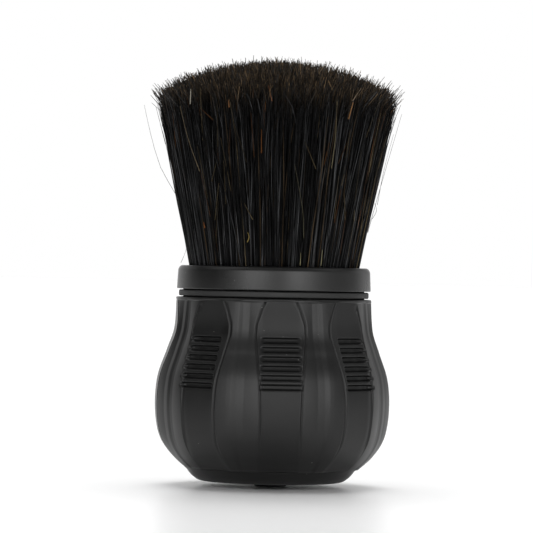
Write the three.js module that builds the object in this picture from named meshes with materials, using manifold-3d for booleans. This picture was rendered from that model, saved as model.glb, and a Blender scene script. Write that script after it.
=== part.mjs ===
// Neck duster brush: a fluted, hollow plastic knob that stands on a small central foot, with a
// round head of trimmed hair held by a cup, a sealing ring and a collar at its neck.
//
// Frame: millimetres, +Z up along the axis of the brush, origin on the axis in the plane that the
// foot stands on. A grip panel faces -Y. All outlines are [radius, height] pairs.

import * as THREE from 'three';
import { mergeVertices } from 'three/addons/utils/BufferGeometryUtils.js';
import Module from 'manifold-3d';

const wasm = await Module();
wasm.setup();

// ---- driving dimensions -------------------------------------------------------------------

const GAP = 0.3;             // clearance between pieces that meet
const ROUND_SEGMENTS = 40;   // sides of every turned piece

// knob
const PANEL_COUNT = 8;       // flat grip panels round the knob
const PANEL_HALF = 10.6;     // half the angle that a panel spans, in degrees
const FLANK_FOOT = 18.3;     // where the slope beside a panel meets the flute's floor
const FLANK_DROP = 0.6;      // how far the floor's edge lies below the panel's edge
const FLUTE_DROP = 0.65;     // how far the middle of the flute lies below it
const FLUTE_FADE = 7;        // height below which the flutes have run out
const FLUTE_FULL = 17;       // height from which they have their full depth
const FLUTE_TOP = 52.4;      // their upper end, just under the neck's rim
const OUTLINE_STEPS = 11;
const WALL = 2.1;
const LINING_MARGIN = 2;     // height of the plain bore above the seam
const SEAM_HEIGHT = 5.2;     // joint between the knob and its base cap
const SEAM_RADIUS = 24.3;
const NECK_HEIGHT = 53.1;    // rim of the knob
const NECK_RADIUS = 27.5;
const NECK_FLOOR = 4;        // depth below the rim at which the sleeve's bore starts to widen
const NECK_TAPER = 2;        // height over which it widens
const SPIGOT_TOP = 57.5;     // sleeve above the rim that carries the ring, cup and collar
const SPIGOT_RADIUS = 25.6;
const SPIGOT_BORE = 24.6;

// finger slots: none on the two side panels, where the halves of the mould part
const SLOTTED_PANELS = [0, 1, 3, 4, 5, 7];
const SLOT_COUNT = 6;
const SLOT_LENGTH = 10.9;
const SLOT_HEIGHT = 1.4;
const SLOT_DEPTH = 0.85;
const SLOT_LOWEST = 28.9;
const SLOT_PITCH = 2.54;
const CUTTER_DEPTH = 4;
const CUTTER_SEGMENTS = 3;   // sides of each quarter of a slot's round end

// base
const CAP_DISH_RADIUS = 12;
const CAP_DISH_HEIGHT = 1.4;
const CAP_RIM_RADIUS = 20.2;
const CAP_RIM_HEIGHT = 1.85;
const CAP_SHOULDER_RADIUS = 22.4;
const CAP_SHOULDER_HEIGHT = 3.3;
const CAP_EDGE = 0.3;        // how far the cap's edge stands inside the knob's
const CAP_SPIGOT_HEIGHT = 2;
const CAP_WALL = 1.8;
const FOOT_RADIUS = 4.7;
const FOOT_HEIGHT = 1.0;
const FOOT_CHAMFER = 0.4;
const FOOT_STEM_RADIUS = 2.4;
const FOOT_STEM_TOP = 5.6;
const BARB_WIDTH = 0.7;      // how far the barb stands out from the stem
const BARB_TAPER = 0.4;      // how far the stem's tip is drawn in

// collar and sealing ring
const COLLAR_BOTTOM = 55.4;
const COLLAR_TOP = 62;
const COLLAR_RADIUS = 27.4;
const COLLAR_LIP_RADIUS = 27.0;
const COLLAR_WALL_BORE = 25.9;
const COLLAR_CHAMFER = 0.8;
const RING_RADIUS = 26.8;
const RING_CHAMFER = 0.5;

// hair and what holds it
const HAIR_ROOT = 50;
const HAIR_RADIUS_AT_COLLAR = 24;
const HAIR_SPREAD = 0.2;     // radius gained per millimetre of height inside the collar
const HAIR_RIM_HEIGHT = 109.3;
const HAIR_RIM_RADIUS = 34;
const HAIR_TOP = 120;
const HAIR_STEPS = 6;        // rows of the head's side, and of its dome
const CUP_WALL = 0.9;
const CUP_FLOOR = 40;
const FLANGE_HEIGHT = 1.0;
const FLANGE_INSET = 0.1;    // how far the flange stands inside the sleeve's edge
const BINDING_HEIGHT = 3.2;
const BINDING_BOTTOM = 51.2;
const BINDING_DEPTH = 1.0;
const BINDING_FLARE = 0.2;

// ---- finishes -----------------------------------------------------------------------------

const BLACK_PLASTIC = new THREE.MeshStandardMaterial({ color: 0x1b1b1c, roughness: 0.42 });
const BLACK_RUBBER = new THREE.MeshStandardMaterial({ color: 0x141414, roughness: 0.8 });
const CUP_PLASTIC = new THREE.MeshStandardMaterial({ color: 0x3a3a3c, roughness: 0.5 });
const RESIN = new THREE.MeshStandardMaterial({ color: 0x6b4a1e, roughness: 0.35 });
const CORD = new THREE.MeshStandardMaterial({ color: 0xb9ad94, roughness: 0.9 });
const HAIR = new THREE.MeshStandardMaterial({ color: 0x17120f, roughness: 0.6 });

// ---- helpers ------------------------------------------------------------------------------

const radians = THREE.MathUtils.degToRad;

/** Turns a closed outline, or one that starts and ends on the axis, about the Z axis. */
function turn(outline, segments = ROUND_SEGMENTS) {
  const points = outline.map(([radius, height]) => new THREE.Vector2(radius, height));
  return new THREE.LatheGeometry(points, segments).rotateX(Math.PI / 2);
}

/** Points of a smooth curve through a few outline points. */
function smooth(outline, steps) {
  const curve = new THREE.SplineCurve(outline.map(([x, y]) => new THREE.Vector2(x, y)));
  return curve.getPoints(steps).map((point) => [point.x, point.y]);
}

function closed(outline) {
  return [...outline, outline[0]];
}

/** A closed mesh as a solid that can be joined and cut. */
function toSolid(geometry) {
  const bare = geometry.clone();
  bare.deleteAttribute('normal');
  bare.deleteAttribute('uv');
  const merged = mergeVertices(bare, 1e-4);
  const mesh = new wasm.Mesh({
    numProp: 3,
    vertProperties: new Float32Array(merged.attributes.position.array),
    triVerts: new Uint32Array(merged.index.array),
  });
  return new wasm.Manifold(mesh);
}

function toGeometry(solid) {
  const mesh = solid.getMesh();
  const geometry = new THREE.BufferGeometry();
  geometry.setAttribute('position', new THREE.BufferAttribute(mesh.vertProperties, 3));
  geometry.setIndex(new THREE.BufferAttribute(mesh.triVerts, 1));
  return geometry;
}

const brush = new THREE.Group();

function add(name, geometry, material) {
  const mesh = new THREE.Mesh(geometry, material);
  mesh.name = name;
  brush.add(mesh);
}

// ---- knob ---------------------------------------------------------------------------------

// Outer outline of the knob, measured to the middle of a grip panel.
const KNOB_OUTLINE = smooth([
  [SEAM_RADIUS, SEAM_HEIGHT], [28.4, 9], [31.6, 14.2], [32.8, 22], [32.2, 30.5],
  [29.6, 38.2], [27.6, 44.4], [27.3, FLUTE_TOP],
], OUTLINE_STEPS);

/** Depth of the flutes at a height, as a share of their full depth. */
function fluteShare(height) {
  if (height >= KNOB_OUTLINE.at(-1)[1]) return 0;
  return THREE.MathUtils.smoothstep(height, FLUTE_FADE, FLUTE_FULL);
}

const FLUTED = 'fluted';
const FLAT = 'flat';
const ROUND = 'round';

/** The angles of one octant's columns, and how far each lies below the panel's edge. */
const OCTANT = [
  { angle: -PANEL_HALF, drop: 0 },
  { angle: PANEL_HALF, drop: 0 },
  { angle: FLANK_FOOT, drop: FLANK_DROP },
  { angle: 180 / PANEL_COUNT, drop: FLUTE_DROP },
  { angle: 360 / PANEL_COUNT - FLANK_FOOT, drop: FLANK_DROP },
];

/**
 * Moves the columns of a turned tube so that it gets flat panels with flutes between them.
 * Each row is FLUTED, FLAT (only flattened at the panels) or ROUND.
 */
function flute(geometry, rows) {
  const position = geometry.attributes.position;
  for (let i = 0; i < position.count; i += 1) {
    const column = Math.floor(i / rows.length) % (PANEL_COUNT * OCTANT.length);
    const row = rows[i % rows.length];
    const { angle, drop } = OCTANT[column % OCTANT.length];
    const panel = Math.floor(column / OCTANT.length);
    const turned = radians(panel * 360 / PANEL_COUNT + angle - 90);
    const height = position.getZ(i);
    const face = Math.hypot(position.getX(i), position.getY(i));
    const edge = row === ROUND ? face : face / Math.cos(radians(PANEL_HALF));
    const radius = edge - (row === FLUTED ? drop * fluteShare(height) : 0);
    position.setXYZ(i, radius * Math.cos(turned), radius * Math.sin(turned), height);
  }
  return geometry;
}

/** Radius of the panels' faces at a height. */
function panelRadius(height) {
  const above = KNOB_OUTLINE.findIndex((point) => point[1] >= height);
  const [r0, z0] = KNOB_OUTLINE[above - 1];
  const [r1, z1] = KNOB_OUTLINE[above];
  return THREE.MathUtils.mapLinear(height, z0, z1, r0, r1);
}

/** One finger slot: a flat-floored recess with round ends, cut square to its panel. */
function slotCutter(height, panelAngle) {
  const end = SLOT_HEIGHT / 2;
  const reach = SLOT_LENGTH / 2 - end;
  const shape = new THREE.Shape();
  shape.absarc(reach, 0, end, -Math.PI / 2, Math.PI / 2);
  shape.absarc(-reach, 0, end, Math.PI / 2, 3 * Math.PI / 2);
  const options = {
    depth: CUTTER_DEPTH,
    curveSegments: CUTTER_SEGMENTS,
    bevelEnabled: false,
  };
  const cutter = new THREE.ExtrudeGeometry(shape, options);
  const tilt = Math.atan2(
    panelRadius(height + end) - panelRadius(height - end),
    SLOT_HEIGHT,
  );
  return cutter
    .rotateX(-tilt)
    .rotateX(Math.PI / 2)
    .translate(0, -(panelRadius(height) - SLOT_DEPTH), height)
    .rotateZ(panelAngle);
}

/** The knob's inner outline, from the neck down to the seam. */
function knobLining() {
  const lowest = SEAM_HEIGHT + LINING_MARGIN;
  const highest = NECK_HEIGHT - NECK_FLOOR - NECK_TAPER;
  return KNOB_OUTLINE.filter((point, i) => i % 2 === 0)
    .map(([radius, height]) => [radius - FLUTE_DROP - WALL, height])
    .filter(([, height]) => height > lowest && height < highest)
    .reverse();
}

/** The knob before its slots are cut. */
function knobBlank() {
  const rim = [
    [NECK_RADIUS, NECK_HEIGHT],
    [SPIGOT_RADIUS, NECK_HEIGHT],
    [SPIGOT_RADIUS, SPIGOT_TOP],
  ];
  const bore = [[SPIGOT_BORE, SPIGOT_TOP], [SPIGOT_BORE, NECK_HEIGHT - NECK_FLOOR]];
  const sections = [
    [FLUTED, KNOB_OUTLINE],
    [ROUND, rim],
    [FLAT, [...bore, ...knobLining()]],
    [FLAT, [[SEAM_RADIUS - WALL, SEAM_HEIGHT]]],
    [FLUTED, [KNOB_OUTLINE[0]]],
  ];
  const outline = sections.flatMap(([, points]) => points);
  const rows = sections.flatMap(([style, points]) => points.map(() => style));
  return toSolid(flute(turn(outline, PANEL_COUNT * OCTANT.length), rows));
}

function makeKnob() {
  let knob = knobBlank();
  for (const panel of SLOTTED_PANELS) {
    for (let i = 0; i < SLOT_COUNT; i += 1) {
      const height = SLOT_LOWEST + i * SLOT_PITCH;
      const cutter = toSolid(slotCutter(height, panel * 2 * Math.PI / PANEL_COUNT));
      knob = knob.subtract(cutter);
    }
  }
  return toGeometry(knob);
}

add('knob_shell', makeKnob(), BLACK_PLASTIC);

// ---- base ---------------------------------------------------------------------------------

// A shallow dish that closes the knob, with a hole for the foot's stem and a spigot that
// centres it inside the knob's lower edge.
const CAP_TOP = SEAM_HEIGHT - GAP;
const CAP_SPIGOT_RADIUS = SEAM_RADIUS - WALL - GAP;

add('base_cap', turn(closed([
  [FOOT_STEM_RADIUS + GAP, FOOT_HEIGHT + GAP],
  [CAP_DISH_RADIUS, CAP_DISH_HEIGHT],
  [CAP_RIM_RADIUS, CAP_RIM_HEIGHT],
  [CAP_SHOULDER_RADIUS, CAP_SHOULDER_HEIGHT],
  [SEAM_RADIUS - CAP_EDGE, CAP_TOP],
  [CAP_SPIGOT_RADIUS, CAP_TOP],
  [CAP_SPIGOT_RADIUS, CAP_TOP + CAP_SPIGOT_HEIGHT],
  [CAP_SPIGOT_RADIUS - CAP_WALL, CAP_TOP + CAP_SPIGOT_HEIGHT],
  [CAP_SPIGOT_RADIUS - CAP_WALL, CAP_RIM_HEIGHT + CAP_WALL],
  [FOOT_STEM_RADIUS + GAP, FOOT_HEIGHT + GAP + CAP_WALL],
])), BLACK_PLASTIC);

// The foot is pushed in from below; a barb above the cap keeps it there.
const BARB_BOTTOM = FOOT_HEIGHT + CAP_WALL + 2 * GAP;

add('centre_foot', turn([
  [0, 0],
  [FOOT_RADIUS - FOOT_CHAMFER, 0],
  [FOOT_RADIUS, FOOT_CHAMFER],
  [FOOT_RADIUS, FOOT_HEIGHT],
  [FOOT_STEM_RADIUS, FOOT_HEIGHT],
  [FOOT_STEM_RADIUS, BARB_BOTTOM],
  [FOOT_STEM_RADIUS + BARB_WIDTH, BARB_BOTTOM],
  [FOOT_STEM_RADIUS - BARB_TAPER, FOOT_STEM_TOP],
  [0, FOOT_STEM_TOP],
]), BLACK_RUBBER);

// ---- hair and what holds it ---------------------------------------------------------------

/** Radius of the bundle of hair inside the cup and the collar. */
function hairRadius(height) {
  return HAIR_RADIUS_AT_COLLAR - HAIR_SPREAD * (COLLAR_TOP - height);
}

const CUP_TOP = SPIGOT_TOP + GAP + FLANGE_HEIGHT;
const cupBore = (height) => hairRadius(height) + GAP;

// Tapered cup: it hangs by its flange from the top of the knob's sleeve.
add('hair_cup', turn([
  [0, CUP_FLOOR],
  [cupBore(CUP_FLOOR) + CUP_WALL, CUP_FLOOR],
  [cupBore(SPIGOT_TOP) + CUP_WALL, SPIGOT_TOP + GAP],
  [SPIGOT_RADIUS - FLANGE_INSET, SPIGOT_TOP + GAP],
  [SPIGOT_RADIUS - FLANGE_INSET, CUP_TOP],
  [cupBore(CUP_TOP), CUP_TOP],
  [cupBore(CUP_FLOOR + CUP_WALL), CUP_FLOOR + CUP_WALL],
  [0, CUP_FLOOR + CUP_WALL],
]), CUP_PLASTIC);

// Cast resin that holds the roots in the cup.
const RESIN_BOTTOM = CUP_FLOOR + CUP_WALL + GAP;
const RESIN_TOP = HAIR_ROOT - GAP;

add('root_resin', turn([
  [0, RESIN_BOTTOM],
  [hairRadius(RESIN_BOTTOM) - GAP, RESIN_BOTTOM],
  [hairRadius(RESIN_TOP) - GAP, RESIN_TOP],
  [0, RESIN_TOP],
]), RESIN);

// Cord wound round the roots before they are set; it lies in a waist in the hair.
const BINDING_TOP = BINDING_BOTTOM + BINDING_HEIGHT;
const bindingBore = hairRadius(BINDING_BOTTOM) - BINDING_DEPTH;

add('root_binding', turn(closed([
  [bindingBore + GAP, BINDING_BOTTOM],
  [hairRadius(BINDING_BOTTOM), BINDING_BOTTOM],
  [hairRadius(BINDING_BOTTOM) + BINDING_FLARE, BINDING_TOP],
  [bindingBore + GAP, BINDING_TOP],
])), CORD);

/** The trimmed dome: an arc from the rim of the head to its top. */
function domeOutline(steps) {
  const rise = HAIR_TOP - HAIR_RIM_HEIGHT;
  const radius = (HAIR_RIM_RADIUS ** 2 + rise ** 2) / (2 * rise);
  const start = Math.asin(HAIR_RIM_RADIUS / radius);
  return Array.from({ length: steps }, (_, i) => {
    const angle = start * (1 - (i + 1) / steps);
    return [radius * Math.sin(angle), HAIR_TOP - radius * (1 - Math.cos(angle))];
  });
}

add('hair_head', turn([
  [0, HAIR_ROOT],
  [hairRadius(HAIR_ROOT), HAIR_ROOT],
  [hairRadius(BINDING_BOTTOM) - GAP, BINDING_BOTTOM - GAP],
  [bindingBore, BINDING_BOTTOM - GAP],
  [bindingBore, BINDING_TOP + GAP],
  [hairRadius(BINDING_TOP + GAP), BINDING_TOP + GAP],
  ...smooth([
    [HAIR_RADIUS_AT_COLLAR, COLLAR_TOP],
    [27, 77],
    [30.9, 96.6],
    [HAIR_RIM_RADIUS, HAIR_RIM_HEIGHT],
  ], HAIR_STEPS),
  ...domeOutline(HAIR_STEPS),
]), HAIR);

// ---- neck ---------------------------------------------------------------------------------

const RING_BORE = SPIGOT_RADIUS + GAP;

// Sealing ring with a rounded outer edge, between the knob's rim and the collar.
add('neck_ring', turn(closed([
  [RING_BORE, NECK_HEIGHT + GAP],
  [RING_RADIUS - RING_CHAMFER, NECK_HEIGHT + GAP],
  [RING_RADIUS, NECK_HEIGHT + GAP + RING_CHAMFER],
  [RING_RADIUS, COLLAR_BOTTOM - GAP - RING_CHAMFER],
  [RING_RADIUS - RING_CHAMFER, COLLAR_BOTTOM - GAP],
  [RING_BORE, COLLAR_BOTTOM - GAP],
])), BLACK_RUBBER);

// Collar: its skirt slides over the sleeve and its lip clamps the cup's flange.
const LIP_BOTTOM = CUP_TOP + GAP;

add('collar', turn(closed([
  [COLLAR_WALL_BORE, COLLAR_BOTTOM],
  [COLLAR_RADIUS, COLLAR_BOTTOM],
  [COLLAR_LIP_RADIUS, COLLAR_TOP - COLLAR_CHAMFER],
  [COLLAR_LIP_RADIUS - COLLAR_CHAMFER, COLLAR_TOP],
  [HAIR_RADIUS_AT_COLLAR + GAP, COLLAR_TOP],
  [HAIR_RADIUS_AT_COLLAR + GAP, LIP_BOTTOM],
  [COLLAR_WALL_BORE, LIP_BOTTOM],
])), BLACK_PLASTIC);

export default brush;
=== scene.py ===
"""Neck duster brush: a fluted black knob on a small foot, a collar, and a domed head of dark hair.

Blender's part of the model. Lengths are written in millimetres and turned into metres as meshes
are made. +Z is up, the origin is on the floor under the middle of the foot, and a grip panel
faces -Y.
"""
import math

import bpy
import numpy as np
from mathutils import Matrix, Vector


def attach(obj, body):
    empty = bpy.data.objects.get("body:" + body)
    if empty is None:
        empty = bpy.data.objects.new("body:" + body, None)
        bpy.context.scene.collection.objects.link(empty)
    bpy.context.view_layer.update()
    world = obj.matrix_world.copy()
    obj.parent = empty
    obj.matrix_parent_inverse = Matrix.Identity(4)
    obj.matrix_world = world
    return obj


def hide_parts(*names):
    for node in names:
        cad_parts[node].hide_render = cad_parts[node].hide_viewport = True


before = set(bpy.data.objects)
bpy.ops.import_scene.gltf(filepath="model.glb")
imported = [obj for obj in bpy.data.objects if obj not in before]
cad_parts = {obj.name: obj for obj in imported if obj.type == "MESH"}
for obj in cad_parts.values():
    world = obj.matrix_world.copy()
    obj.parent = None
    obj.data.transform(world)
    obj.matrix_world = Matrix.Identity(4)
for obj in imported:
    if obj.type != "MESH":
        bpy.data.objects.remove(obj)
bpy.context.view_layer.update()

MM = 0.001
CAMERA_ANGLE = -4.4        # degrees that the camera stands round from straight ahead
rng = np.random.default_rng(20)


# ---- meshes ---------------------------------------------------------------------------------

def make_piece(name, points, faces, material, replaces=(), attributes=None, smooth=True):
    """A mesh piece from points in millimetres and arrays of faces with 3 or 4 corners each."""
    mesh = bpy.data.meshes.new(name)
    mesh.vertices.add(len(points))
    mesh.vertices.foreach_set("co", (np.asarray(points) * MM).astype(np.float32).ravel())
    corners = np.concatenate([f.ravel() for f in faces]).astype(np.int32)
    sizes = np.concatenate([np.full(len(f), f.shape[1], np.int32) for f in faces])
    starts = np.concatenate([[0], np.cumsum(sizes)[:-1]]).astype(np.int32)
    mesh.loops.add(len(corners))
    mesh.loops.foreach_set("vertex_index", corners)
    mesh.polygons.add(len(sizes))
    mesh.polygons.foreach_set("loop_start", starts)
    mesh.polygons.foreach_set("loop_total", sizes)
    mesh.polygons.foreach_set("use_smooth", np.full(len(sizes), smooth))
    for key, values in (attributes or {}).items():
        if values.ndim == 1:
            mesh.attributes.new(key, "FLOAT", "POINT").data.foreach_set(
                "value", values.astype(np.float32))
        else:
            rgba = np.column_stack([values, np.ones(len(values))])
            mesh.attributes.new(key, "FLOAT_COLOR", "POINT").data.foreach_set(
                "color", rgba.astype(np.float32).ravel())
    mesh.update(calc_edges=True)
    mesh.validate()
    mesh.materials.append(material)
    piece = bpy.data.objects.new(name, mesh)
    bpy.context.scene.collection.objects.link(piece)
    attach(piece, "root")
    if replaces:
        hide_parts(*replaces)
    return piece


def grid_faces(rows, columns, wrap_rows=False):
    """Quads of a grid of points, row by row, whose columns close into a ring."""
    last = rows if wrap_rows else rows - 1
    row, column = np.meshgrid(np.arange(last), np.arange(columns), indexing="ij")
    above = (row + 1) % rows
    right = (column + 1) % columns
    quads = [row * columns + column, row * columns + right,
             above * columns + right, above * columns + column]
    return np.stack(quads, -1).reshape(-1, 4)


def turned(outline, segments):
    """Points and faces of an outline turned about Z: a closed ring, or from axis to axis."""
    outline = np.asarray(outline, float)
    on_axis = outline[0, 0] == 0
    ring = outline[1:-1] if on_axis else outline
    angles = np.arange(segments) * 2 * math.pi / segments
    radius, height = ring[:, :1], ring[:, 1:]
    points = np.stack([radius * np.cos(angles), radius * np.sin(angles),
                       height + 0 * angles], -1).reshape(-1, 3)
    faces = [grid_faces(len(ring), segments, wrap_rows=not on_axis)]
    if on_axis:
        first = np.arange(segments)
        second = (first + 1) % segments
        top = (len(ring) - 1) * segments
        low, high = len(points), len(points) + 1
        points = np.vstack([points, [0, 0, outline[0, 1]], [0, 0, outline[-1, 1]]])
        faces += [np.stack([second, first, first * 0 + low], -1),
                  np.stack([top + first, top + second, first * 0 + high], -1)]
    return points, faces


def rounded(corners, steps=5):
    """An outline from (radius, height, fillet) corners, with each fillet as a short curve."""
    points = np.array([c[:2] for c in corners], float)
    out = []
    for i, (_, _, fillet) in enumerate(corners):
        here = points[i]
        if fillet == 0:
            out.append(here)
            continue
        before, after = points[i - 1] - here, points[(i + 1) % len(points)] - here
        lengths = np.linalg.norm(before), np.linalg.norm(after)
        reach = min(fillet, lengths[0] * 0.49, lengths[1] * 0.49)
        start, end = here + before / lengths[0] * reach, here + after / lengths[1] * reach
        for t in np.linspace(0, 1, steps):
            out.append((1 - t) ** 2 * start + 2 * t * (1 - t) * here + t ** 2 * end)
    return np.array(out)


def spline(knots, count):
    """Points of a uniform Catmull-Rom curve through the knots."""
    knots = np.asarray(knots, float)
    along = np.linspace(0, len(knots) - 1, count)
    i = np.minimum(along.astype(int), len(knots) - 2)
    t = (along - i)[:, None]
    p0, p1 = knots[np.maximum(i - 1, 0)], knots[i]
    p2, p3 = knots[i + 1], knots[np.minimum(i + 2, len(knots) - 1)]
    m1, m2 = (p2 - p0) / 2, (p3 - p1) / 2
    return ((2 * t ** 3 - 3 * t ** 2 + 1) * p1 + (t ** 3 - 2 * t ** 2 + t) * m1
            + (-2 * t ** 3 + 3 * t ** 2) * p2 + (t ** 3 - t ** 2) * m2)


def smoothstep(low, high, x):
    t = np.clip((x - low) / (high - low), 0, 1)
    return t * t * (3 - 2 * t)


# ---- materials ------------------------------------------------------------------------------

class Nodes:
    """A material with a Principled shader, and short ways to add nodes to it."""

    def __init__(self, name):
        self.material = bpy.data.materials.new(name)
        self.material.use_nodes = True
        self.tree = self.material.node_tree
        self.shader = self.tree.nodes["Principled BSDF"]
        self.place = self.add("ShaderNodeTexCoord").outputs["Object"]

    def add(self, kind, **values):
        node = self.tree.nodes.new(kind)
        for key, value in values.items():
            setattr(node, key, value)
        return node

    def link(self, source, target):
        self.tree.links.new(source, target)

    def scaled(self, factors):
        """Object coordinates stretched by a factor along each axis."""
        node = self.add("ShaderNodeMapping")
        node.inputs["Scale"].default_value = factors
        self.link(self.place, node.inputs["Vector"])
        return node.outputs["Vector"]

    def noise(self, scale, detail=3, roughness=0.5, stretch=None):
        node = self.add("ShaderNodeTexNoise")
        node.inputs["Scale"].default_value = scale
        node.inputs["Detail"].default_value = detail
        node.inputs["Roughness"].default_value = roughness
        self.link(self.scaled(stretch) if stretch else self.place, node.inputs["Vector"])
        return node.outputs["Fac"]

    def specks(self, scale, radius):
        """1 inside sparse small dots, 0 elsewhere."""
        node = self.add("ShaderNodeTexVoronoi")
        node.inputs["Scale"].default_value = scale
        self.link(self.place, node.inputs["Vector"])
        return self.ramp(node.outputs["Distance"], 0.6 * radius, radius, 1, 0)

    def ramp(self, source, low, high, to_low, to_high):
        """Maps source from low..high to to_low..to_high, with no overshoot."""
        node = self.add("ShaderNodeMapRange")
        ends = sorted([(low, to_low), (high, to_high)])
        self.link(source, node.inputs["Value"])
        node.inputs["From Min"].default_value, node.inputs["To Min"].default_value = ends[0]
        node.inputs["From Max"].default_value, node.inputs["To Max"].default_value = ends[1]
        return node.outputs["Result"]

    def math(self, operation, a, b):
        node = self.add("ShaderNodeMath", operation=operation)
        for socket, value in zip(node.inputs, (a, b)):
            if isinstance(value, (int, float)):
                socket.default_value = value
            else:
                self.link(value, socket)
        return node.outputs["Value"]

    def mix(self, factor, a, b, blend="MIX"):
        """A colour between a and b, each a colour or a socket."""
        node = self.add("ShaderNodeMix", data_type="RGBA", blend_type=blend)
        if isinstance(factor, (int, float)):
            node.inputs[0].default_value = factor
        else:
            self.link(factor, node.inputs[0])
        for socket, value in ((node.inputs[6], a), (node.inputs[7], b)):
            if isinstance(value, tuple):
                socket.default_value = (*value, 1)
            else:
                self.link(value, socket)
        return node.outputs[2]

    def attribute(self, name, output="Fac"):
        return self.add("ShaderNodeAttribute", attribute_name=name).outputs[output]

    def bump(self, height, distance, strength=1.0):
        node = self.add("ShaderNodeBump")
        node.inputs["Distance"].default_value = distance
        node.inputs["Strength"].default_value = strength
        self.link(height, node.inputs["Height"])
        self.link(node.outputs["Normal"], self.shader.inputs["Normal"])

    def finish(self, colour, roughness, specular=0.5):
        self.link(colour, self.shader.inputs["Base Color"])
        self.link(roughness, self.shader.inputs["Roughness"])
        if isinstance(specular, (int, float)):
            self.shader.inputs["Specular IOR Level"].default_value = specular
        else:
            self.link(specular, self.shader.inputs["Specular IOR Level"])
        return self.material


def moulded_plastic(name, shade, roughness, worn_and_shaded=False):
    """Black moulded plastic: satin with cloudy patches, fine grain, rubbed edges, dust and, on the
    knob, painted shade in slot walls and grooves.
    """
    n = Nodes(name)
    gloss_and_shade = 0.38
    clouds = n.noise(55, detail=4, roughness=0.55)
    streaks = n.noise(160, detail=3, stretch=(1, 1, 0.18))
    grain = n.noise(2600, detail=2)
    dark = tuple(0.8 * c for c in shade)
    light = tuple(1.35 * c for c in shade)
    colour = n.mix(n.ramp(clouds, 0.35, 0.65, 0, 1), dark, light)
    rough = n.ramp(clouds, 0.3, 0.7, roughness - 0.03, roughness + 0.05)
    rough = n.math("ADD", rough, n.ramp(streaks, 0.3, 0.7, -0.025, 0.025))
    if worn_and_shaded:
        wear = n.math("MULTIPLY", n.attribute("wear"), n.ramp(streaks, 0.3, 0.6, 0.5, 1))
        colour = n.mix(wear, colour, tuple(2.6 * c for c in shade))
        rough = n.math("SUBTRACT", rough, n.math("MULTIPLY", wear, 0.07))
        # painted shade: slot walls and the grooves beside the panels lose most of their gloss and
        # grow rougher, so they read darker, standing in for the shade in these recesses
        recess_shade = n.attribute("recess_shade")
        rough = n.math("ADD", rough, n.math("MULTIPLY", recess_shade, 0.2))
        gloss_and_shade = n.ramp(recess_shade, 0, 1, 0.35, 0.03)
    dust = n.math("MULTIPLY", n.specks(420, 0.075), n.ramp(n.noise(90), 0.55, 0.6, 0, 1))
    colour = n.mix(dust, colour, (0.2, 0.2, 0.19))
    n.bump(n.math("ADD", n.math("MULTIPLY", streaks, 2.0), grain), 0.00002, 0.6)
    return n.finish(colour, rough, gloss_and_shade)


def rubber(name, shade):
    """Matt black rubber with a fine, slightly chalky grain."""
    n = Nodes(name)
    patches = n.noise(200, detail=4)
    colour = n.mix(n.ramp(patches, 0.35, 0.65, 0, 1), shade, tuple(1.8 * c for c in shade))
    n.bump(n.noise(3500, detail=2), 0.00003, 0.7)
    return n.finish(colour, n.ramp(patches, 0.3, 0.7, 0.55, 0.72))


def hair_fibre(name):
    """Natural hair: its colours lie in the mesh, with bands and scales along each fibre."""
    n = Nodes(name)
    bands = n.noise(900, detail=2, stretch=(1, 1, 0.15))
    tint = n.attribute("tint", "Color")
    colour = n.mix(n.ramp(bands, 0.3, 0.7, 0, 1), tint, (0.55, 0.55, 0.55), "MULTIPLY")
    n.bump(n.noise(9000, detail=1), 0.00001, 0.5)
    return n.finish(colour, n.ramp(bands, 0.3, 0.7, 0.36, 0.52), 0.07)


def packed_hair(name):
    """The inside of the head, between the fibres: near black with fine upright streaks."""
    n = Nodes(name)
    streaks = n.noise(2400, detail=3, stretch=(1, 1, 0.03))
    colour = n.mix(n.ramp(streaks, 0.4, 0.7, 0, 1), (0.0004, 0.0004, 0.0003),
                   (0.002, 0.0018, 0.0016))
    n.bump(streaks, 0.0002)
    return n.finish(colour, n.ramp(streaks, 0.3, 0.7, 0.9, 0.7), 0.05)


def cast_resin(name):
    n = Nodes(name)
    clouds = n.noise(120, detail=4)
    colour = n.mix(n.ramp(clouds, 0.3, 0.7, 0, 1), (0.09, 0.045, 0.012), (0.2, 0.11, 0.035))
    n.bump(clouds, 0.0003)
    return n.finish(colour, n.ramp(clouds, 0.3, 0.7, 0.2, 0.4))


def wound_cord(name):
    n = Nodes(name)
    turns = n.add("ShaderNodeTexWave", bands_direction="Z")
    turns.inputs["Scale"].default_value = 400
    turns.inputs["Distortion"].default_value = 1.5
    n.link(n.place, turns.inputs["Vector"])
    fluff = n.noise(1800, detail=3)
    colour = n.mix(turns.outputs["Fac"], (0.18, 0.14, 0.09), (0.5, 0.44, 0.33))
    n.bump(n.math("ADD", turns.outputs["Fac"], fluff), 0.0002)
    return n.finish(colour, n.ramp(fluff, 0.3, 0.7, 0.8, 0.95))


KNOB_PLASTIC = moulded_plastic("knob_plastic", (0.0052, 0.0052, 0.0051), 0.35, worn_and_shaded=True)
COLLAR_PLASTIC = moulded_plastic("collar_plastic", (0.0062, 0.0062, 0.0061), 0.28)
CUP_PLASTIC = moulded_plastic("cup_plastic", (0.03, 0.03, 0.032), 0.5)
BLACK_RUBBER = rubber("black_rubber", (0.006, 0.006, 0.006))
HAIR = hair_fibre("hair_fibre")
PACKED_HAIR = packed_hair("packed_hair")

for node, material in (("hair_cup", CUP_PLASTIC), ("root_resin", cast_resin("cast_resin")),
                       ("root_binding", wound_cord("wound_cord"))):
    cad_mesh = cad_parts[node].data
    cad_mesh.materials.clear()
    cad_mesh.materials.append(material)


# ---- knob -----------------------------------------------------------------------------------

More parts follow.
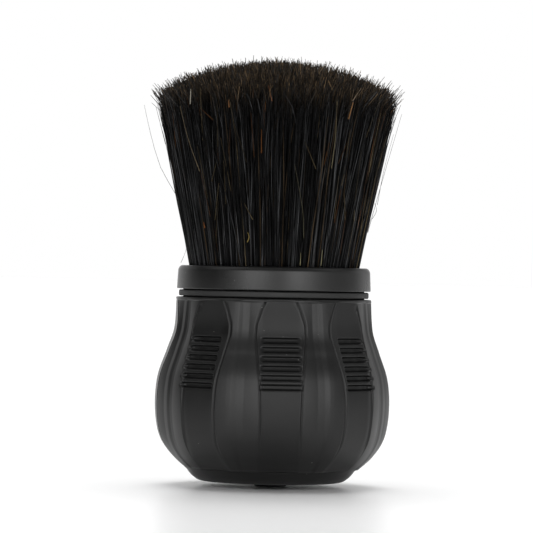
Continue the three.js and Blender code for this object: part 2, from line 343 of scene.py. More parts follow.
PANELS = 8
PANEL_STEP = 360 / PANELS
PANEL_EDGE = [(20, 5.7), (30, 6.0), (36, 6.5), (43, 7.0), (46, 6.8), (50, 5.4), (52.4, 4.3)]
GROOVE_WIDTH, GROOVE_DEPTH = 0.95, 0.42   # the line beside a panel
GROOVE_SHADE = [(20, 0.25), (40, 0.3), (46, 0.6)]   # how much painted shade darkens that line, by height
EDGE_WEAR, WORN_WIDTH = 0.2, 0.6
FLUTE_DROP = 0.68          # how far a flute's wall falls from a panel to its crease
FRONT_DROP, SLANT_DROP = 0.42, 0.1   # the same beside a front panel, and facing one
EDGE_SHIFT = 1.1           # how far the edges of a slanting panel lie towards the front
FLUTE_CREASE = 18.3        # degrees from a panel's middle to the faint crease in the flute
FLUTE_FADE, FLUTE_FULL, FLUTE_TOP = 7.0, 17.0, 52.4
SEAM_HEIGHT, SEAM_RADIUS, WALL = 5.2, 24.3, 2.1
NECK_HEIGHT, RIM_RADIUS = 53.1, 27.6
SPIGOT_RADIUS, SPIGOT_BORE, SPIGOT_TOP = 25.6, 24.6, 57.5
SLOT_COUNT, SLOT_HEIGHT, SLOT_DEPTH = 6, 1.38, 0.95
SLANT_DEEPER = 0.25        # share by which the slots of a panel that isn't square-on are deeper
SLOT_LENGTH, SLOT_SHORTER = 12.2, 0.24   # the lowest slot, and how much shorter the next is
SLOT_LOWEST, SLOT_PITCH = 28.9, 2.54
SLOT_WALL = 0.70           # how far a slot's wall leans over its depth
SLOT_RAMP = 1.0            # length over which a slot's end comes up to the surface
OUTER_RAMP = 2.2           # the same where the mould draws away, on the slanting panels
OUTER_REACH = 0.6          # how much further a slot runs on that side
RAMP_CURVE = 0.6           # below 1, the ramp rises steeply at its outer end
SHADE_DEPTH, SHADE_SPREAD = 0.55, 0.38   # where on a slot's wall the painted shade is darkest, and how widely it spreads
SLANT = np.array([0, 1, 0, -1, 0, 1, 0, -1])   # how each panel slants from the mould's draw
SLOTTED = np.array([1, 1, 0, 1, 1, 1, 0, 1])   # the side panels have no slots

KNOB_OUTLINE = spline([
    (SEAM_RADIUS, SEAM_HEIGHT), (28.4, 9), (31.6, 14.2), (32.8, 22), (32.2, 30.5),
    (29.6, 38.2), (27.6, 44.4), (27.3, FLUTE_TOP)], 200)
slot_heights = SLOT_LOWEST + SLOT_PITCH * np.arange(SLOT_COUNT)

# Rows and columns of the outer surface's mesh, in millimetres of height and in degrees.
WALL_ROWS = np.array([-0.38, -0.26, -0.13, 0, 0.13, 0.26, 0.38])
FLOOR_ROWS = [-0.12, 0.12]
LOWER_CURVE_END, PLAIN_END, UPPER_FLUTE_START, UPPER_FLUTE_END = 12, 27.6, 43.4, 51.6
COARSE_ROW, FINE_ROW = 1.2, 0.7
PANEL_FLAT, EDGE_END = 8.4, 16.6
FLUTE_COLUMNS = [17.2, 17.8, FLUTE_CREASE, 18.8, 20, 21.3, PANEL_STEP / 2]


def knob_rows():
    """Heights of the outer surface's rows, close together where the shape turns sharply."""
    half = SLOT_HEIGHT / 2
    around = np.concatenate([WALL_ROWS - half, FLOOR_ROWS, WALL_ROWS + half, [SLOT_PITCH / 2]])
    slots = (slot_heights[:, None] + around).ravel()
    below = np.concatenate([np.linspace(SEAM_HEIGHT, LOWER_CURVE_END, 11),
                            np.arange(LOWER_CURVE_END + 1, PLAIN_END, COARSE_ROW)])
    above = np.concatenate([np.arange(UPPER_FLUTE_START, UPPER_FLUTE_END, FINE_ROW),
                            np.linspace(UPPER_FLUTE_END + 0.2, FLUTE_TOP, 7)])
    return np.sort(np.concatenate([below, slots, above]))


def knob_columns():
    """Angles round the knob, close together at panel edges and slot ends."""
    half = np.concatenate([
        np.linspace(0, PANEL_FLAT, 5)[:-1], np.linspace(PANEL_FLAT, EDGE_END, 26),
        FLUTE_COLUMNS])
    octant = np.concatenate([-half[:0:-1], half])[1:]
    return np.concatenate([octant + PANEL_STEP * i for i in range(PANELS)])


def panel_distance(height):
    return np.interp(height, KNOB_OUTLINE[:, 1], KNOB_OUTLINE[:, 0])


def nearest_panel(angle):
    return np.round(angle / PANEL_STEP).astype(int) % PANELS


def from_panel(angle):
    """Signed angle from the middle of the nearest panel."""
    return (angle + PANEL_STEP / 2) % PANEL_STEP - PANEL_STEP / 2


def slot_share(panel, across, height):
    """How deep a point lies in the nearest slot, from 0 outside it to 1 on its floor, and how
    far it is on one of the slot's long walls, which sets the painted shade there."""
    nearest = np.clip(np.round((height - SLOT_LOWEST) / SLOT_PITCH), 0, SLOT_COUNT - 1)
    end = (SLOT_LENGTH - nearest * SLOT_SHORTER) / 2
    outward = across * SLANT[panel]
    ramp = np.where(outward > 0, OUTER_RAMP, SLOT_RAMP)
    reach = np.clip((end + (outward > 0) * OUTER_REACH - np.abs(across)) / ramp, 0, 1)
    rim = np.abs(height - (SLOT_LOWEST + nearest * SLOT_PITCH))
    rim = rim - SLOT_HEIGHT / 2 * np.where(outward > 0, np.sqrt(reach), 1)
    depth = smoothstep(SLOT_WALL / 2, -SLOT_WALL / 2, rim)
    # painted shade: the middle of each long wall is marked for darkening
    wall = np.exp(-((depth - SHADE_DEPTH) / SHADE_SPREAD) ** 2) * smoothstep(0, 1, reach)
    return depth * reach ** RAMP_CURVE * SLOTTED[panel], wall * SLOTTED[panel]


def flute_drop(panel, face, across, half, outward):
    """How far the flute beside a panel falls below the panel's edge."""
    crease = face * math.tan(math.radians(FLUTE_CREASE))
    middle = face * math.tan(math.radians(PANEL_STEP / 2))
    near, far = np.full_like(face, FLUTE_DROP), np.full_like(face, FLUTE_DROP)
    square_on = panel % (PANELS // 2) == 0
    near[square_on], far[square_on] = FRONT_DROP, SLANT_DROP
    near[outward < 0], far[outward < 0] = SLANT_DROP, FRONT_DROP
    drop = near * np.clip((across - half) / (crease - half), 0, 1)
    return drop + (far - near) / 2 * np.clip((across - crease) / (middle - crease), 0, 1)


def knob_surface(angle, height):
    """Radius of the knob's outer surface, how worn it is there, and how much painted shade
    darkens it in slot walls and the grooves beside the panels.
    """
    local, panel = np.radians(from_panel(angle)), nearest_panel(angle)
    face = panel_distance(height)
    offset = face * np.tan(local)
    across, outward = np.abs(offset), offset * SLANT[panel]
    half = np.interp(height, *zip(*PANEL_EDGE)) - EDGE_SHIFT * np.sign(outward)
    share = smoothstep(FLUTE_FADE, FLUTE_FULL, height)
    share = share * (1 - smoothstep(FLUTE_TOP - 0.3, FLUTE_TOP - 0.1, height))
    drop = flute_drop(panel, face, across, half, outward)
    line = np.clip(1 - np.abs(across - half) / (GROOVE_WIDTH / 2), 0, 1)
    radius = np.where(across < half, face / np.cos(local), np.hypot(face, half) - drop * share)
    radius = radius - GROOVE_DEPTH * smoothstep(0, 1, line) * share
    inside, wall = slot_share(panel, offset, height)
    radius = radius - SLOT_DEPTH * (1 + SLANT_DEEPER * (outward != 0)) * inside
    wear = EDGE_WEAR * np.exp(-((across - half) / WORN_WIDTH) ** 2) * share * (line == 0)
    # painted shade: the groove beside each panel is dulled, more so higher up, so it reads dark
    # like the shade in it
    shaded = smoothstep(0, 1, line) * share * np.interp(height, *zip(*GROOVE_SHADE))
    return radius, wear, np.maximum(wall, shaded)


def knob_lining():
    """The knob's rim, neck and hollow inside, as (radius, height) rows from the rim down."""
    height = np.array([47.0, 44, 40, 36, 32, 28, 23, 18, 14, 11, 8])
    return np.vstack([
        [[RIM_RADIUS, FLUTE_TOP + 0.25], [RIM_RADIUS - 0.1, NECK_HEIGHT - 0.12],
         [RIM_RADIUS - 0.35, NECK_HEIGHT], [SPIGOT_RADIUS, NECK_HEIGHT],
         [SPIGOT_RADIUS, SPIGOT_TOP - 0.2], [SPIGOT_RADIUS - 0.2, SPIGOT_TOP],
         [SPIGOT_BORE, SPIGOT_TOP], [SPIGOT_BORE, NECK_HEIGHT - 3]],
        np.column_stack([panel_distance(height) - FLUTE_DROP - WALL, height]),
        [[SEAM_RADIUS - WALL, SEAM_HEIGHT], [SEAM_RADIUS - 0.15, SEAM_HEIGHT]]])


def make_knob():
    columns, lining = knob_columns(), knob_lining()
    angle, height = np.meshgrid(columns, knob_rows())
    # the third value is the painted shade of slot walls and grooves
    radius, wear, recess_shade = knob_surface(angle, height)
    radius = np.vstack([radius, np.repeat(lining[:, :1], len(columns), 1)])
    height = np.vstack([height, np.repeat(lining[:, 1:], len(columns), 1)])
    plain = np.zeros((len(lining), len(columns)))
    wear, recess_shade = np.vstack([wear, plain]), np.vstack([recess_shade, plain])
    turn = np.radians(columns - 90)
    points = np.stack([radius * np.cos(turn), radius * np.sin(turn), height], -1)
    faces = grid_faces(len(radius), len(columns), wrap_rows=True)
    make_piece("knob_shell_fine", points.reshape(-1, 3), [faces], KNOB_PLASTIC,
               ["knob_shell"], {"wear": wear.ravel(), "recess_shade": recess_shade.ravel()})


make_knob()


# ---- turned pieces --------------------------------------------------------------------------

SEGMENTS = 224
GAP = 0.3                  # between pieces that touch
CAP_RIM_TOP, CAP_SPIGOT_TOP, CAP_BORE = 5.16, 6.9, 20.1
FOOT_RADIUS, FOOT_HEIGHT, FOOT_PIN, FOOT_BARB, FOOT_TOP = 4.7, 1.0, 2.4, 3.1, 5.6
RING_BORE, RING_RADIUS, RING_BOTTOM, RING_TOP = 25.9, 26.8, 53.4, 55.1
COLLAR_BOTTOM, COLLAR_TOP, COLLAR_BORE, COLLAR_LIP = 55.4, 62.0, 25.9, 24.3
COLLAR_LIP_BOTTOM = 59.1


def add_turned(name, outline, material, node):
    points, faces = turned(outline, SEGMENTS)
    make_piece(name, points, faces, material, [node])


def add_base():
    """The cap that closes the knob from below, and the foot that is pushed through it."""
    hole = FOOT_PIN + GAP
    spigot = SEAM_RADIUS - WALL - GAP
    add_turned("base_cap_fine", rounded([
        (hole, 1.3, 0.1), (12, 1.35, 1), (20.5, 1.5, 0.9), (22.6, 3.1, 1),
        (24.15, CAP_RIM_TOP, 0.2), (spigot, CAP_RIM_TOP, 0), (spigot, CAP_SPIGOT_TOP, 0.3),
        (CAP_BORE, CAP_SPIGOT_TOP, 0.3), (CAP_BORE, 3.6, 0), (hole, 3.1, 0.1),
    ]), KNOB_PLASTIC, "base_cap")
    foot = rounded([
        (0.01, 0, 0), (FOOT_RADIUS - 0.4, 0, 0.2), (FOOT_RADIUS, 0.4, 0.3),
        (FOOT_RADIUS, FOOT_HEIGHT, 0.15), (FOOT_PIN, FOOT_HEIGHT, 0), (FOOT_PIN, 3.4, 0),
        (FOOT_BARB, 3.4, 0.1), (2.0, FOOT_TOP, 0.2), (0.01, FOOT_TOP, 0)])
    foot[0, 0] = foot[-1, 0] = 0
    add_turned("centre_foot_fine", foot, BLACK_RUBBER, "centre_foot")


def add_neck():
    """The ring above the knob's rim, and the collar over the ring."""
    add_turned("neck_ring_fine", rounded([
        (RING_BORE, RING_BOTTOM, 0), (RING_RADIUS, RING_BOTTOM, 0.45),
        (RING_RADIUS, RING_TOP, 0.45), (RING_BORE, RING_TOP, 0)], 7),
        BLACK_RUBBER, "neck_ring")
    add_turned("collar_fine", rounded([
        (COLLAR_BORE, COLLAR_BOTTOM, 0.1), (27.4, COLLAR_BOTTOM, 0.3), (27.1, 61.0, 0.9),
        (26.4, COLLAR_TOP, 0.6), (COLLAR_LIP, COLLAR_TOP, 0.4),
        (COLLAR_LIP, COLLAR_LIP_BOTTOM, 0), (COLLAR_BORE, COLLAR_LIP_BOTTOM, 0)], 7),
        COLLAR_PLASTIC, "collar")


add_base()
add_neck()


# ---- hair -----------------------------------------------------------------------------------

ROOT_HEIGHT = 56.5
RIM_HEIGHT, RIM_WIDTH, DOME_TOP = 109.3, 34.0, 120.0
DOME_RISE = DOME_TOP - RIM_HEIGHT
DOME_RADIUS = (RIM_WIDTH ** 2 + DOME_RISE ** 2) / (2 * DOME_RISE)
CORE_TOP, CORE_SHARE = 99.0, 0.84
HEAD_OUTLINE = spline([(22.9, 56.5), (24, COLLAR_TOP), (27, 77), (30.9, 96.6), (34, 109.3),
                       (35.5, 115)], 120)
BUNDLES = 3                # pieces that the side fibres are in, and the crown fibres
SIDE_COUNT, SIDE_STEPS = 2700, 10
CROWN_COUNT, CROWN_STEPS = 4600, 5
TUFT_STEP = math.pi / 24   # angle between the loose tufts at the rim

BLACK_HAIR = np.array([0.0012, 0.0012, 0.0013])
# painted sheen: the grey that fibres are tinted towards stands in for light glinting along them
SHEEN_GREY = np.array([0.050, 0.051, 0.053])
BROWN_TIP = np.array([0.046, 0.031, 0.017])
TAN_HAIR = np.array([0.26, 0.20, 0.11])
ORANGE_HAIR = np.array([0.24, 0.10, 0.03])
STRAY_HAIR = (0.02, 0.018, 0.015)
# The shares of fibres that are brown, tan or orange, each with how strong its colour is.
RARE_HAIR = [(0.05, BROWN_TIP * 0.7), (0.010, TAN_HAIR * 0.4), (0.004, ORANGE_HAIR * 0.5)]
PATCHES = (0.2, 1.9)       # how a fibre's brightness varies along it
COLLAR_SHEEN, SHEEN_BELOW, SHEEN_GONE_ABOVE = 0.9, 62, 76   # painted sheen: the fibres are paler just above the collar
TIP_START, TIP_FULL = 105, 113         # where the brown of the tips begins and is full
BROWN_SHARE = 0.8          # the share of fibres with brown tips
TIP_MEAN, TIP_SPREAD, TIP_LIMIT = -0.7, 1.1, 5   # the tips' brightness: a log-normal, capped


def head_radius(height):
    return np.interp(height, HEAD_OUTLINE[:, 1], HEAD_OUTLINE[:, 0])


def dome_height(radius):
    return DOME_TOP - DOME_RADIUS + np.sqrt(DOME_RADIUS ** 2 - radius ** 2)


def fibres(paths, widths, tints):
    """Points, faces and tints of three-sided fibres along paths of shape (count, steps, 3)."""
    count, steps, _ = paths.shape
    along = np.gradient(paths, axis=1)
    along /= np.linalg.norm(along, axis=2, keepdims=True)
    out = paths * [1, 1, 0]
    side = np.cross(along, out + [1e-6, 0, 0])
    side /= np.linalg.norm(side, axis=2, keepdims=True)
    front = np.cross(side, along)
    phase = rng.uniform(0, 2 * math.pi, count)[:, None] + np.arange(3) * 2 * math.pi / 3
    swing = np.cos(phase)[:, None, :, None] * front[:, :, None, :]
    swing = swing + np.sin(phase)[:, None, :, None] * side[:, :, None, :]
    points = paths[:, :, None, :] + swing * widths[:, :, None, None] / 2
    base = (np.arange(count) * steps * 3)[:, None, None]
    row, column = np.meshgrid(np.arange(steps - 1), np.arange(3), indexing="ij")
    right = (column + 1) % 3
    quads = np.stack([row * 3 + column, row * 3 + right,
                      row * 3 + 3 + right, row * 3 + 3 + column], -1).reshape(1, -1, 4)
    top = (steps - 1) * 3
    caps = np.array([[[2, 1, 0], [top, top + 1, top + 2]]])
    faces = [(quads + base).reshape(-1, 4), (caps + base).reshape(-1, 3)]
    return points.reshape(-1, 3), faces, np.repeat(tints.reshape(-1, 3), 3, axis=0)


def hair_tints(height, brown):
    """A tint for every ring: most fibres near black, some grey with painted sheen, few pale,
    browner at the tip.
    """
    count, steps = height.shape
    # painted sheen: each fibre is tinted towards grey by a random amount, most only slightly
    shine = rng.random(count)[:, None] ** 4
    shade = BLACK_HAIR + (SHEEN_GREY - BLACK_HAIR) * shine
    kind = rng.random(count)[:, None]
    for share, tint in RARE_HAIR:
        shade = np.where(kind < share, tint, shade)
    patchy = rng.uniform(*PATCHES, (count, steps))[..., None]
    # painted sheen: fibres just above the collar are made paler
    sheen_near_collar = 1 + COLLAR_SHEEN * (1 - smoothstep(SHEEN_BELOW, SHEEN_GONE_ABOVE, height))[..., None]
    shade = shade[:, None, :] * patchy * sheen_near_collar
    bright = np.exp(rng.normal(TIP_MEAN, TIP_SPREAD, count))[:, None, None].clip(0, TIP_LIMIT)
    share = smoothstep(TIP_START, TIP_FULL, height) * brown
    share = (share * (rng.random(count) < BROWN_SHARE)[:, None])[..., None]
    return shade + (BROWN_TIP * bright - shade) * share


SIDE_INNER, SIDE_BROWN, SIDE_WIDTHS = 0.70, 0.75, (0.16, 0.36)
SIDE_LIFT, SIDE_UNEVEN = 0.4, 1.4      # where the tips end against the dome, and how unevenly
SIDE_TALL, SIDE_RISE = 0.12, (0.3, 1.9)     # the share that stand up further, and how far
LAYERED_FROM, LAYER_DROP, LAYER_CURVE = 0.90, 6.5, 1.3   # shorter fibres near the rim
TUFT_PULL, TUFT_SPREAD = 0.5, 0.4      # how strongly and how closely tips gather into tufts
WANDER, STRAY_WANDER, STRAY_SHARE = 0.032, 0.11, 0.08   # sideways lean, in radians
WAVE_COUNTS, WAVE_TURN, WAVE_RADIUS = (0.5, 1.8), 0.009, 0.007
RADIUS_MEAN, RADIUS_SPREAD, RADIUS_CURVE = -0.012, 0.02, 1.5   # how fibres leave their layer
ROOT_CROWDING = 0.9        # below 1, a side fibre's rings lie closer together at its tip
CROWN_OUTER, CROWN_BROWN, CROWN_WIDTHS = 0.88, 0.9, (0.26, 0.52)
CROWN_LIFT, CROWN_UNEVEN = 0.5, 1.6
CROWN_TALL, CROWN_RISE = 0.10, (0.2, 1.4)
CROWN_DEPTH = 4            # how far inside the core the crown fibres start
CROWN_LEAN, LEAN_CURVE = 0.065, 2.6
CENTRE_SHARE = 0.15        # nearer the axis than this, a lean turns a fibre no further
TAPER = 0.7                # share of its width that a fibre loses towards the tip


def side_fibres(count, steps):
    """Full-length fibres of the head's outer layers, from inside the collar to the rim."""
    share = np.sqrt(rng.uniform(SIDE_INNER, 1, count))
    angle = rng.uniform(0, 2 * math.pi, count)
    tuft = np.round(angle / TUFT_STEP + rng.normal(0, TUFT_SPREAD, count)) * TUFT_STEP
    stray = rng.random(count) < STRAY_SHARE
    wander = rng.normal(0, WANDER, count) + stray * rng.normal(0, STRAY_WANDER, count)
    rim = smoothstep(LAYERED_FROM, 1, share)
    tip = dome_height(share * RIM_WIDTH) + SIDE_LIFT
    tip = tip - np.abs(rng.normal(0, SIDE_UNEVEN, count))
    tip = tip - LAYER_DROP * rim * rng.random(count) ** LAYER_CURVE
    tip = tip + (rng.random(count) < SIDE_TALL) * rng.uniform(*SIDE_RISE, count)
    s = np.linspace(0, 1, steps) ** ROOT_CROWDING
    height = ROOT_HEIGHT + (tip - ROOT_HEIGHT)[:, None] * s
    turn = angle[:, None] + wander[:, None] * s + (tuft - angle)[:, None] * TUFT_PULL * s ** 2
    phase = rng.uniform(0, 2 * math.pi, (2, count, 1))
    waves = rng.uniform(*WAVE_COUNTS, (count, 1)) * 2 * math.pi
    turn = turn + WAVE_TURN * s * np.sin(waves * s + phase[0])
    uneven = rng.normal(RADIUS_MEAN, RADIUS_SPREAD, (count, 1)) * s ** RADIUS_CURVE
    uneven = uneven + WAVE_RADIUS * s * np.sin(waves * s + phase[1])
    radius = head_radius(height) * (share[:, None] + uneven)
    paths = np.stack([radius * np.cos(turn), radius * np.sin(turn), height], -1)
    width = rng.uniform(*SIDE_WIDTHS, count)[:, None] * (1 - TAPER * smoothstep(0.75, 1, s))
    return fibres(paths, width, hair_tints(height, SIDE_BROWN))


def crown_fibres(count, steps):
    """Upper ends of the inner fibres, from inside the core to the trimmed dome."""
    share = np.sqrt(rng.uniform(0, CROWN_OUTER, count))
    angle = rng.uniform(0, 2 * math.pi, count)
    tip = dome_height(share * RIM_WIDTH) + CROWN_LIFT
    tip = tip - np.abs(rng.normal(0, CROWN_UNEVEN, count))
    tip = tip + (rng.random(count) < CROWN_TALL) * rng.uniform(*CROWN_RISE, count)
    s = np.linspace(0, 1, steps)
    low = CORE_TOP - CROWN_DEPTH
    height = low + (tip - low)[:, None] * s
    lean = rng.normal(0, CROWN_LEAN, (2, count, 1)) * s ** LEAN_CURVE
    radius = head_radius(height) * (share[:, None] + lean[0])
    turn = angle[:, None] + lean[1] / np.maximum(share[:, None], CENTRE_SHARE)
    paths = np.stack([radius * np.cos(turn), radius * np.sin(turn), height], -1)
    width = rng.uniform(*CROWN_WIDTHS, count)[:, None] * (1 - TAPER * smoothstep(0.5, 1, s))
    return fibres(paths, width, hair_tints(height, CROWN_BROWN))


# Single fibres that stand out, as (sideways, height) points in the front view with a width and
# a tint: pale and reddish ones that lie on the head, then strays that stand off it.
LYING = [
    ([(-24.0, 110.5), (-24.1, 106.4)], 0.34, (0.5, 0.46, 0.38)),
    ([(-27.0, 106.0), (-24.6, 97.0), (-21.2, 88.0)], 0.26, (0.26, 0.2, 0.12)),
    ([(-4.3, 99.5), (-4.2, 93.0)], 0.34, (0.3, 0.11, 0.03)),
    ([(-13.5, 107.8), (-13.3, 105.4)], 0.4, (0.26, 0.12, 0.05)),
    ([(-2.6, 111.4), (-1.6, 107.2)], 0.36, (0.22, 0.1, 0.05)),
    ([(16.3, 107.7), (16.1, 98.0), (15.2, 89.4)], 0.32, (0.26, 0.22, 0.13)),
    ([(20.8, 107.7), (19.6, 103.0)], 0.5, (0.34, 0.17, 0.07)),
    ([(13.0, 117.6), (11.0, 115.0)], 0.3, (0.2, 0.15, 0.1)),
    ([(22.9, 111.6), (20.6, 108.0)], 0.3, (0.3, 0.22, 0.15)),
    ([(-7.6, 71.3), (-7.2, 70.0), (-7.7, 68.6)], 0.4, (0.34, 0.25, 0.08)),
    ([(-19.9, 74.0), (-19.5, 72.4)], 0.36, (0.3, 0.1, 0.03)),
    ([(7.2, 66.0), (7.1, 62.4)], 0.34, (0.4, 0.36, 0.2)),
    ([(13.2, 67.0), (12.9, 62.4)], 0.34, (0.42, 0.38, 0.22)),
    ([(5.0, 90.0), (7.4, 78.0), (7.9, 70.0)], 0.22, (0.12, 0.11, 0.07)),
    ([(-15.5, 84.0), (-14.2, 74.0), (-14.3, 68.0)], 0.22, (0.1, 0.1, 0.1)),
]
STANDING = [
    ([(-37.6, 107.0), (-35.8, 99.4), (-32.7, 89.5), (-28.3, 82.0), (-26.4, 77.0)], 0.16),
    ([(-24.6, 68.0), (-25.4, 65.0), (-26.4, 62.6)], 0.14),
    ([(-34.9, 110.2), (-33.0, 106.0), (-32.4, 101.0)], 0.18),
    ([(-34.3, 106.5), (-32.9, 101.5), (-31.4, 96.0)], 0.18),
    ([(35.2, 105.8), (32.8, 97.0), (30.1, 87.0), (27.4, 76.8), (26.2, 72.0)], 0.18),
    ([(34.9, 108.4), (33.4, 104.5), (31.9, 100.8), (30.6, 96.0)], 0.24),
    ([(33.0, 100.0), (30.5, 90.0), (28.8, 80.0)], 0.15),
    ([(27.9, 80.5), (28.6, 78.4), (27.4, 76.0)], 0.15),
]
STRAND_STEPS = 9
LYING_SHADE = 0.6          # how much duller the lying fibres are than their tints
SCATTERED = 60             # more pale and reddish fibres at random all round the head
SCATTERED_TOPS, SCATTERED_LENGTHS, SCATTERED_WIDTHS = (70, 111), (3, 18), (0.2, 0.32)
SCATTERED_TAN, SCATTERED_SHADES = 0.6, (0.06, 0.34)


def strand(corners, on_surface):
    """One fibre's path from its corners in the front view."""
    across, height = resample(np.array(corners[::-1]), STRAND_STEPS).T
    reach = head_radius(height) + 0.15
    depth = np.sqrt(np.maximum(reach ** 2 - across ** 2, 0)) if on_surface else 0 * across
    turn = math.radians(CAMERA_ANGLE)
    x = across * math.cos(turn) + depth * math.sin(turn)
    y = across * math.sin(turn) - depth * math.cos(turn)
    return np.stack([x, y, height], -1)


def resample(corners, steps):
    curve = spline(corners, 40) if len(corners) > 2 else corners
    place = np.linspace(0, len(curve) - 1, steps)
    return np.stack([np.interp(place, np.arange(len(curve)), column) for column in curve.T], -1)


def scattered_strand():
    angle, top = rng.uniform(0, 2 * math.pi), rng.uniform(*SCATTERED_TOPS)
    length, lean = rng.uniform(*SCATTERED_LENGTHS), rng.normal(0, 0.06)
    height = np.linspace(max(top - length, COLLAR_TOP + 0.4), top, STRAND_STEPS)
    turn = angle + lean * np.linspace(0, 1, STRAND_STEPS)
    reach = head_radius(height) + 0.1
    return np.stack([reach * np.cos(turn), reach * np.sin(turn), height], -1)


def add_strands():
    """The single fibres that stand out from the rest."""
    paths = [strand(corners, True) for corners, _, _ in LYING]
    widths = [width for _, width, _ in LYING]
    tints = [np.array(tint) * LYING_SHADE for _, _, tint in LYING]
    for corners, width in STANDING:
        paths.append(strand(corners, False))
        widths.append(width)
        tints.append(STRAY_HAIR)
    for _ in range(SCATTERED):
        paths.append(scattered_strand())
        widths.append(rng.uniform(*SCATTERED_WIDTHS))
        pale = TAN_HAIR if rng.random() < SCATTERED_TAN else ORANGE_HAIR
        tints.append(tuple(pale * rng.uniform(*SCATTERED_SHADES)))
    taper = 1 - 0.5 * np.linspace(0, 1, STRAND_STEPS)
    rings = np.repeat(np.array(tints)[:, None, :], STRAND_STEPS, axis=1)
    points, faces, tints = fibres(np.array(paths), np.array(widths)[:, None] * taper, rings)
    make_piece("hair_strands", points, faces, HAIR, ["hair_head"], {"tint": tints})


def add_core():
    """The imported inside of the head, which shows only in the gaps between the fibres."""
    heights = np.linspace(COLLAR_TOP, CORE_TOP, 12)[:-1]
    outline = [
        (0, 50), (21.5, 50), (21.55, 50.9), (20.9, 50.9), (20.9, 54.7), (22.0, 54.7),
        *((head_radius(height) * CORE_SHARE, height) for height in heights),
        (head_radius(CORE_TOP) * 0.8, CORE_TOP), (14, CORE_TOP + 4.5), (0, CORE_TOP + 6)]
    add_turned("hair_core", np.array(outline), PACKED_HAIR, "hair_head")


def add_bundles(name, make_fibres, count, steps):
    for i in range(BUNDLES):
        points, faces, tints = make_fibres(count, steps)
        make_piece(f"{name}_{i + 1}", points, faces, HAIR, ["hair_head"],
                   {"tint": tints})


add_core()
add_bundles("hair_side", side_fibres, SIDE_COUNT, SIDE_STEPS)
add_bundles("hair_crown", crown_fibres, CROWN_COUNT, CROWN_STEPS)
add_strands()


# ---- studio ---------------------------------------------------------------------------------

CAMERA_DISTANCE, CAMERA_HEIGHT = 1000, 62
CAMERA_ROLL = 1.1
CAMERA_AIM = -2.2          # how far left of the axis it looks
LENS, SENSOR = 239, 36
NEAREST, FURTHEST = 0.05, 50           # what the camera sees, in metres
FLOOR_REACH = 12                       # metres
# Soft boxes round the brush: degrees to the right of the camera, spread and brightness.
STANDING_BOXES = [(-22, 19, 4.0), (29, 19, 4.0), (-50, 15, 0.7), (60, 20, 0.7), (95, 20, 0.4),
                  (132, 18, 0.8), (180, 22, 1.0), (-140, 22, 0.7)]
HANGING_BOXES = [(-77, 24, 0.75), (90, 22, 0.45), (172, 16, 0.35)]
STANDING_TOP, HANGING_BOTTOM = 0.34, 0.56   # sines of the elevations where they fade out
# The soft lights behind: elevation, apparent size and strength.
BACK_LIGHTS = [(58, 30, 0.5), (77, 40, 1.8), (86, 90, 0.6)]


def heading(degrees):
    """Unit vector on the floor, 0 towards -Y and 90 towards +X."""
    return np.array([math.sin(math.radians(degrees)), -math.cos(math.radians(degrees)), 0])


def add_camera():
    camera = bpy.data.objects.new("camera", bpy.data.cameras.new("camera"))
    bpy.context.scene.collection.objects.link(camera)
    camera.data.lens, camera.data.sensor_width = LENS, SENSOR
    camera.data.clip_start, camera.data.clip_end = NEAREST, FURTHEST
    to_camera = heading(CAMERA_ANGLE)
    right = heading(CAMERA_ANGLE + 90)
    place = to_camera * CAMERA_DISTANCE + right * CAMERA_AIM + [0, 0, CAMERA_HEIGHT]
    turn = Vector(-to_camera).to_track_quat("-Z", "Y").to_matrix().to_4x4()
    roll = Matrix.Rotation(math.radians(CAMERA_ROLL), 4, "Z")
    camera.matrix_world = Matrix.Translation(Vector(place) * MM) @ turn @ roll
    bpy.context.scene.camera = camera


class WorldNodes:
    """The world's node tree, with short ways to add soft boxes to it."""

    def __init__(self, world):
        world.use_nodes = True
        self.tree = world.node_tree
        place = self.tree.nodes.new("ShaderNodeTexCoord").outputs["Generated"]
        split = self.tree.nodes.new("ShaderNodeSeparateXYZ")
        self.tree.links.new(place, split.inputs[0])
        x, y, self.height = split.outputs
        angle = self.calc("ARCTAN2", x, self.calc("MULTIPLY", y, -1.0))
        self.turn = self.calc("SUBTRACT", self.calc("DIVIDE", angle, 2 * math.pi),
                              CAMERA_ANGLE / 360)

    def calc(self, operation, *values):
        node = self.tree.nodes.new("ShaderNodeMath")
        node.operation = operation
        for socket, value in zip(node.inputs, values):
            if isinstance(value, (int, float)):
                socket.default_value = value
            else:
                self.tree.links.new(value, socket)
        return node.outputs[0]

    def boxes(self, rows):
        """Brightness from soft boxes, each of which fades away round its middle."""
        total = 0
        for azimuth, spread, brightness in rows:
            off = self.calc("WRAP", self.calc("SUBTRACT", self.turn, azimuth / 360), 0.5, -0.5)
            off = self.calc("MULTIPLY", off, 360 / spread)
            fade = self.calc("EXPONENT", self.calc("MULTIPLY", self.calc("POWER", off, 2), -1))
            total = self.calc("ADD", total, self.calc("MULTIPLY", fade, brightness))
        return total


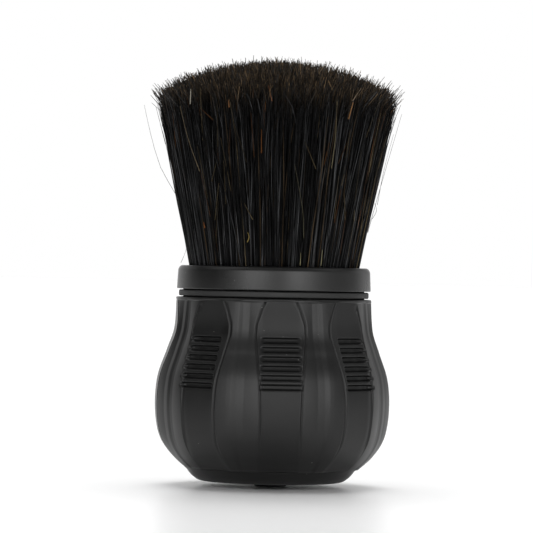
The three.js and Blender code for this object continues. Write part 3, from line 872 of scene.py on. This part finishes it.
def add_world():
    """Soft boxes all round for the brush and the floor, and plain white for the camera."""
    world = bpy.data.worlds.new("studio")
    bpy.context.scene.world = world
    w = WorldNodes(world)
    overhead = w.tree.nodes.new("ShaderNodeMapRange")
    w.tree.links.new(w.height, overhead.inputs["Value"])
    overhead.inputs["From Min"].default_value = STANDING_TOP
    overhead.inputs["From Max"].default_value = HANGING_BOTTOM
    share = overhead.outputs["Result"]
    low = w.calc("MULTIPLY", w.boxes(STANDING_BOXES), w.calc("SUBTRACT", 1, share))
    level = w.calc("ADD", low, w.calc("MULTIPLY", w.boxes(HANGING_BOXES), share))
    seen = w.tree.nodes.new("ShaderNodeLightPath").outputs["Is Camera Ray"]
    strength = w.calc("ADD", w.calc("MULTIPLY", level, w.calc("SUBTRACT", 1, seen)), seen)
    background = w.tree.nodes["Background"]
    background.inputs["Color"].default_value = (1, 1, 1, 1)
    w.tree.links.new(strength, background.inputs["Strength"])


def add_back_lights():
    """The broad soft lights above and behind, whose shadow falls towards the camera."""
    for elevation, size, strength in BACK_LIGHTS:
        data = bpy.data.lights.new("back_light", "SUN")
        data.angle = math.radians(size)
        data.energy = strength
        light = bpy.data.objects.new("back_light", data)
        bpy.context.scene.collection.objects.link(light)
        tilt = math.radians(elevation)
        away = Vector(-heading(CAMERA_ANGLE)) * math.cos(tilt)
        away = away + Vector((0, 0, math.sin(tilt)))
        light.rotation_mode = "QUATERNION"
        light.rotation_quaternion = away.to_track_quat("Z", "Y")


def add_floor():
    n = Nodes("floor_paper")
    fibre = n.noise(300, detail=4)
    colour = n.mix(fibre, (0.9, 0.9, 0.9), (0.94, 0.94, 0.94))
    material = n.finish(colour, n.ramp(fibre, 0, 1, 0.3, 0.36), 0.5)
    mesh = bpy.data.meshes.new("floor")
    corners = [(-1, -1), (1, -1), (1, 1), (-1, 1)]
    mesh.from_pydata([(x * FLOOR_REACH, y * FLOOR_REACH, 0) for x, y in corners], [],
                     [(0, 1, 2, 3)])
    mesh.materials.append(material)
    floor = bpy.data.objects.new("floor", mesh)
    bpy.context.scene.collection.objects.link(floor)


add_camera()
add_world()
add_back_lights()
add_floor()
bpy.context.scene.view_settings.view_transform = "Standard"
